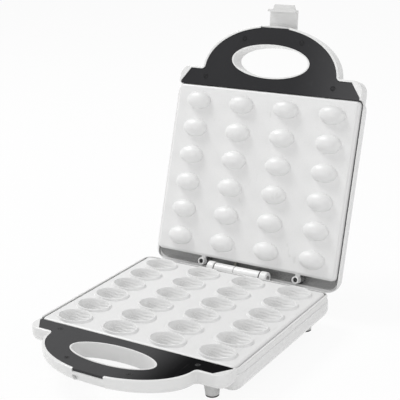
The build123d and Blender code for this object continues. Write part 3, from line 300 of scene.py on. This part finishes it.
casing_white = (0.79, 0.79, 0.785)
casing_paler_white = (0.83, 0.83, 0.828)
casing_deep_shade = (0.035, 0.035, 0.036)
casing_dust = (0.66, 0.65, 0.63)
casing_peel_depth = 0.00003
casing_wave_share = 3.0
shell_white, tree, shader, where = new_finish("shell_white")
handled = handling(tree, where, scuff_size=260, scuff_share=0.35)
# Painted shade: an occlusion test paints the casings' deep insides and recesses near black.
recess = tree.nodes.new("ShaderNodeAmbientOcclusion")
recess.samples = 8
recess.inputs["Distance"].default_value = 0.04
drifted = blended(tree, handled["Drift"], casing_white, casing_paler_white)
painted_recess_shade = spread(tree, recess.outputs["AO"], between=(0.06, 0.4), to=(1, 0))
shaded = blended(tree, painted_recess_shade, drifted, casing_deep_shade)
slow_waves = calc(tree, "MULTIPLY", noise(tree, where, scale=60), casing_wave_share)
peel = calc(tree, "ADD", noise(tree, where, scale=700), slow_waves)
link(
    tree,
    (blended(tree, handled["Dust"], shaded, casing_dust), shader.inputs["Base Color"]),
    (spread(tree, handled["Scuffs"], between=(0, 1), to=(0.24, 0.55)), shader.inputs["Roughness"]),
    (bumped(tree, peel, casing_peel_depth), shader.inputs["Normal"]),
)
shader.inputs["Coat Weight"].default_value = 0.25
shader.inputs["Coat Roughness"].default_value = 0.08
shader.inputs["Specular IOR Level"].default_value = 0.5
finish_with(shell_white, "base_shell", "lid_shell")

# Latch: a small clip of the same white plastic that swings on a pin
# in the lid's handle, from a smaller tool, so with a duller skin.
latch_tone = (0.76, 0.76, 0.755)
latch_scuff_tone = (0.68, 0.68, 0.67)
latch_grain_depth = 0.00002
latch_white, tree, shader, where = new_finish("latch_white")
handled = handling(tree, where, scuff_size=420, scuff_share=0.5)
scuffed = blended(tree, handled["Scuffs"], latch_tone, latch_scuff_tone)
latch_grain = noise(tree, where, scale=1500)
link(
    tree,
    (scuffed, shader.inputs["Base Color"]),
    (spread(tree, handled["Scuffs"], between=(0, 1), to=(0.34, 0.6)), shader.inputs["Roughness"]),
    (bumped(tree, latch_grain, latch_grain_depth), shader.inputs["Normal"]),
)
finish_with(latch_white, "latch")

# Cooking plates: pressed sheet under a white ceramic-look coating,
# sprayed on, so with a faint speckle and a soft satin gloss.
coat_tone = (0.82, 0.82, 0.818)
coat_speck_tone = (0.74, 0.74, 0.73)
coat_scuff_tone = (0.72, 0.72, 0.71)
coat_wave_share = 2.0
coat_spray_depth = 0.00004
plate_coat, tree, shader, where = new_finish("plate_coat")
handled = handling(tree, where, scuff_size=180, scuff_share=0.6)
speckle = tree.nodes.new("ShaderNodeTexVoronoi")
speckle.inputs["Scale"].default_value = 1100
link(tree, (where, speckle.inputs["Vector"]))
speckle_gaps = spread(tree, speckle.outputs["Distance"], between=(0.1, 0.3))
speckled = blended(tree, speckle_gaps, coat_speck_tone, coat_tone)
spray_waves = calc(tree, "MULTIPLY", noise(tree, where, scale=150), coat_wave_share)
spray = calc(tree, "ADD", noise(tree, where, scale=1300), spray_waves)
link(
    tree,
    (blended(tree, handled["Scuffs"], speckled, coat_scuff_tone), shader.inputs["Base Color"]),
    (spread(tree, handled["Drift"], between=(0.3, 0.7), to=(0.32, 0.42)), shader.inputs["Roughness"]),
    (bumped(tree, spray, coat_spray_depth), shader.inputs["Normal"]),
)
finish_with(plate_coat, "base_plate", "lid_plate")

# Nut ridges: the wavy lengthwise ribs inside each cup that give the
# cookie its walnut skin, pressed with the cup and coated with it.
# Their border is tucked into the cup's wall.
cup_columns = 4
cup_rows = 6
column_pitch = 0.054
row_pitch = 0.0305
cup_half_length = 0.0173
cup_half_width = 0.0127
cup_drop = 0.0142
cup_mouth = 0.0402
cups_middle_y = -0.025289
ridge_lift = 0.00015
ridge_tuck = 0.0002
ridge_height = 0.00055
ridge_sharpness = 0.7
ridge_fade_turn = 0.25
ridge_fade_length = 0.2
groove_count = 13
slow_sway = 0.04
slow_sway_rate = 5.2
slow_sway_start = 1.3
quick_sway = 0.015
quick_sway_rate = 11
quick_sway_slant = 2
along_count = 28
across_count = 105
cup_points = []
cup_faces = []
for i in range(along_count):
    x = -cos(pi * (i + 1) / (along_count + 1))
    ring = sqrt(1 - x**2)
    for j in range(across_count):
        roll = pi * (j / (across_count - 1) - 0.5)
        y, z = ring * sin(roll), -ring * cos(roll)
        sway = slow_sway * sin(slow_sway_rate * x + slow_sway_start)
        sway += quick_sway * sin(quick_sway_rate * x + quick_sway_slant * y)
        ridge = abs(cos(groove_count * (roll + sway))) ** ridge_sharpness
        fade = min(1, (pi / 2 - abs(roll)) / ridge_fade_turn)
        fade *= min(1, (1 - abs(x)) / ridge_fade_length)
        border = i in (0, along_count - 1) or j in (0, across_count - 1)
        height = -ridge_tuck if border else ridge_lift + ridge_height * ridge * fade
        normal = Vector((x / cup_half_length, y / cup_half_width, z / cup_drop)).normalized()
        point = Vector((x * cup_half_length, y * cup_half_width, z * cup_drop)) - normal * height
        cup_points.append(point)
for i in range(along_count - 1):
    for j in range(across_count - 1):
        corner = i * across_count + j
        opposite = corner + across_count
        cup_faces.append((corner, opposite, opposite + 1, corner + 1))
ridge_points = []
ridge_faces = []
for column in range(cup_columns):
    for row in range(cup_rows):
        cup_middle = Vector((
            (column - (cup_columns - 1) / 2) * column_pitch,
            (row - (cup_rows - 1) / 2) * row_pitch + cups_middle_y,
            cup_mouth,
        ))
        start = len(ridge_points)
        ridge_points += [cup_middle + point for point in cup_points]
        ridge_faces += [tuple(start + i for i in face) for face in cup_faces]
ridge_mesh = bpy.data.meshes.new("cup_ridges")
ridge_mesh.from_pydata(ridge_points, [], ridge_faces)
ridge_mesh.shade_smooth()
ridge_mesh.materials.append(plate_coat)
cup_ridges = bpy.data.objects.new("cup_ridges", ridge_mesh)
bpy.context.scene.collection.objects.link(cup_ridges)
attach(cup_ridges, "base")

# Handle inserts: dark grey panels let into the handles, moulded
# against a fine spark-eroded grain, so satin with a soft sheen. A
# painted reflection darkens the lower one to the right and turns the
# upper one a little paler to the right.
panel_grain_tone = (0.075, 0.075, 0.078)
panel_scuff_tone = (0.09, 0.09, 0.09)
panel_grain_depth = 0.00003
base_reflection_span = (0.015, 0.07)
lid_reflection_span = (0.025, 0.105)
panels = [
    ("base_panel_grey", base_reflection_span, (0.048, 0.048, 0.05), (0.005, 0.005, 0.0055), "base_handle_insert"),
    ("lid_panel_grey", lid_reflection_span, (0.025, 0.025, 0.027), (0.064, 0.064, 0.066), "lid_handle_insert"),
]
for panel_name, reflection_span, left_reflection_tone, right_reflection_tone, panel_node in panels:
    panel_grey, tree, shader, where = new_finish(panel_name)
    handled = handling(tree, where, scuff_size=420, scuff_share=0.3)
    grain = noise(tree, where, scale=2600, detail=3, roughness=0.6)
    place = tree.nodes.new("ShaderNodeSeparateXYZ")
    link(tree, (where, place.inputs[0]))
    # Painted reflection: the colour runs from the left to the right tone along the panel's X.
    reflection_toned = blended(tree, spread(tree, place.outputs["X"], reflection_span), left_reflection_tone, right_reflection_tone)
    if panel_node == "base_handle_insert":
        # Painted reflection: on the lower panel the sheen also fades out to the right.
        sheen = spread(tree, place.outputs["X"], reflection_span, to=(0.1, 0.0))
    else:
        sheen = spread(tree, handled["Drift"], between=(0.3, 0.7), to=(0.08, 0.12))
    grain_share = spread(tree, grain, between=(0.35, 0.65), to=(0.0, 0.12))
    grained = blended(tree, grain_share, reflection_toned, panel_grain_tone)
    link(
        tree,
        (blended(tree, handled["Scuffs"], grained, panel_scuff_tone), shader.inputs["Base Color"]),
        (spread(tree, grain, between=(0.3, 0.7), to=(0.42, 0.5)), shader.inputs["Roughness"]),
        (bumped(tree, grain, panel_grain_depth), shader.inputs["Normal"]),
        (sheen, shader.inputs["Specular IOR Level"]),
    )
    finish_with(panel_grey, panel_node)

# Black screws: small blackened steel cross-head screws that hold
# the panels and the upper plate, with a painted highlight where an edge turns.
screw_tone = (0.008, 0.008, 0.009)
screw_edge_highlight_tone = (0.09, 0.09, 0.09)
screw_grain_depth = 0.00002
screw_black, tree, shader, where = new_finish("screw_black")
handled = handling(tree, where, scuff_size=900, scuff_share=1)
# Painted highlight: a bevel test finds the turned edges and paints them paler.
rounded = tree.nodes.new("ShaderNodeBevel")
rounded.samples = 4
rounded.inputs["Radius"].default_value = 0.0002
flat = tree.nodes.new("ShaderNodeNewGeometry")
turned = tree.nodes.new("ShaderNodeVectorMath")
turned.operation = "DOT_PRODUCT"
link(
    tree,
    (rounded.outputs[0], turned.inputs[0]),
    (flat.outputs["Normal"], turned.inputs[1]),
)
painted_edge_highlight = spread(tree, turned.outputs["Value"], between=(0.99, 0.85))
screw_grain = noise(tree, where, scale=2500)
link(
    tree,
    (blended(tree, painted_edge_highlight, screw_tone, screw_edge_highlight_tone), shader.inputs["Base Color"]),
    (spread(tree, handled["Scuffs"], between=(0, 1), to=(0.32, 0.6)), shader.inputs["Roughness"]),
    (bumped(tree, screw_grain, screw_grain_depth), shader.inputs["Normal"]),
)
shader.inputs["Metallic"].default_value = 0.6
finish_with(screw_black, "base_insert_screws", "lid_insert_screws", "lid_plate_screws")

# Bright metal: turned hinge pins, zinc-plated screws, clamp strip and
# shield sheet, each with its own tone, brushing and dulling by heat.
brush_stretch = (40, 900, 900)
brush_depth = 0.00001
heat_dimming = 0.45
heat_blue_dimming = 0.4
metals = [
    ("hinge_steel", (0.50, 0.50, 0.50), 0.28, 0.0, ("hinge_pin", "hinge_sleeve", "latch_pin")),
    ("zinc_plate", (0.56, 0.57, 0.58), 0.34, 0.25, ("base_plate_screws", "lid_clamp_screws")),
    ("clamp_strip", (0.52, 0.52, 0.52), 0.4, 0.4, ("base_heater_clamps", "lid_heater_clamps")),
    ("shield_sheet", (0.62, 0.62, 0.63), 0.32, 0.15, ("base_heat_shield", "lid_heat_shield")),
    ("element_steel", (0.16, 0.15, 0.14), 0.5, 0.9, ("base_heater", "lid_heater")),
    ("fuse_can", (0.55, 0.52, 0.44), 0.35, 0.2, ("thermal_fuse",)),
]
for metal_name, metal_tone, metal_rough, heat_share, metal_nodes in metals:
    metal, tree, shader, where = new_finish(metal_name)
    handled = handling(tree, where, scuff_size=600, scuff_share=0.8)
    brushing = tree.nodes.new("ShaderNodeMapping")
    brushing.inputs["Scale"].default_value = brush_stretch
    link(tree, (where, brushing.inputs["Vector"]))
    lines = noise(tree, brushing.outputs[0], scale=1)
    heat_patches = noise(tree, where, scale=45, detail=3, roughness=0.6)
    heated = spread(tree, heat_patches, between=(0.4, 0.7), to=(0.0, heat_share))
    red, green, blue = metal_tone
    heated_tone = (heat_dimming * red, heat_dimming * green, heat_blue_dimming * blue)
    rough_range = (metal_rough - 0.06, metal_rough + 0.1)
    link(
        tree,
        (blended(tree, heated, metal_tone, heated_tone), shader.inputs["Base Color"]),
        (spread(tree, lines, between=(0.3, 0.7), to=rough_range), shader.inputs["Roughness"]),
        (bumped(tree, lines, brush_depth), shader.inputs["Normal"]),
    )
    shader.inputs["Metallic"].default_value = 1
    finish_with(metal, *metal_nodes)

# Foot pads: soft black rubber plugs pressed into the feet, matt,
# with a moulded grain and dust from the worktop.
pad_tone = (0.018, 0.018, 0.018)
pad_dusty_tone = (0.05, 0.049, 0.047)
pad_grain_depth = 0.00008
pad_rubber, tree, shader, where = new_finish("pad_rubber")
handled = handling(tree, where, scuff_size=500, scuff_share=0.6)
pad_grain = noise(tree, where, scale=1700, detail=4, roughness=0.6)
pad_dust = spread(tree, pad_grain, between=(0.4, 0.75))
link(
    tree,
    (blended(tree, pad_dust, pad_tone, pad_dusty_tone), shader.inputs["Base Color"]),
    (spread(tree, handled["Drift"], between=(0.3, 0.7), to=(0.7, 0.85)), shader.inputs["Roughness"]),
    (bumped(tree, pad_grain, pad_grain_depth), shader.inputs["Normal"]),
)
finish_with(
    pad_rubber,
    "foot_pad_front_left",
    "foot_pad_front_right",
    "foot_pad_rear_left",
    "foot_pad_rear_right",
)

# Electrical pieces: thermostat, terminal block, gland, leads and the
# lamp board, in heat-proof ceramic, nylon, glass-fibre sleeve and laminate.
dull_grain_depth = 0.00004
dull_pieces = [
    ("thermostat_ceramic", (0.62, 0.58, 0.5), (0.5, 0.46, 0.39), 0.55, 900, ("thermostat",)),
    ("block_nylon", (0.6, 0.57, 0.5), (0.54, 0.5, 0.43), 0.42, 1200, ("terminal_block",)),
    ("gland_nylon", (0.02, 0.02, 0.021), (0.035, 0.035, 0.036), 0.38, 1500, ("cord_gland",)),
    ("lead_sleeve", (0.62, 0.6, 0.54), (0.48, 0.46, 0.4), 0.75, 2400, ("base_wiring", "lid_wiring")),
    ("board_laminate", (0.07, 0.16, 0.07), (0.1, 0.2, 0.09), 0.4, 1300, ("lamp_board",)),
]
for piece_name, piece_tone, grain_tone, piece_rough, grain_size, piece_nodes in dull_pieces:
    dull, tree, shader, where = new_finish(piece_name)
    handled = handling(tree, where, scuff_size=700, scuff_share=0.6)
    dull_grain = noise(tree, where, scale=grain_size, detail=3, roughness=0.6)
    grain_share = spread(tree, dull_grain, between=(0.35, 0.65))
    rough_range = (piece_rough - 0.05, piece_rough + 0.1)
    link(
        tree,
        (blended(tree, grain_share, piece_tone, grain_tone), shader.inputs["Base Color"]),
        (spread(tree, handled["Drift"], between=(0.3, 0.7), to=rough_range), shader.inputs["Roughness"]),
        (bumped(tree, dull_grain, dull_grain_depth), shader.inputs["Normal"]),
    )
    finish_with(dull, *piece_nodes)

# Pilot lenses: one red and one green, moulded in clear tinted
# plastic with a domed face, snapped into the lid from inside.
lens_deepening = 0.6
lens_cell_depth = 0.0001
lenses = [
    ("lens_red", (0.75, 0.03, 0.02), "power_lens"),
    ("lens_green", (0.05, 0.5, 0.09), "ready_lens"),
]
for lens_name, lens_tone, lens_node in lenses:
    lens, tree, shader, where = new_finish(lens_name)
    cells = tree.nodes.new("ShaderNodeTexVoronoi")
    cells.inputs["Scale"].default_value = 900
    link(tree, (where, cells.inputs["Vector"]))
    deep_tone = tuple(lens_deepening * part for part in lens_tone)
    link(
        tree,
        (blended(tree, cells.outputs["Distance"], lens_tone, deep_tone), shader.inputs["Base Color"]),
        (bumped(tree, cells.outputs["Distance"], lens_cell_depth), shader.inputs["Normal"]),
    )
    shader.inputs["Roughness"].default_value = 0.12
    shader.inputs["Transmission Weight"].default_value = 0.4
    shader.inputs["IOR"].default_value = 1.49
    finish_with(lens, lens_node)
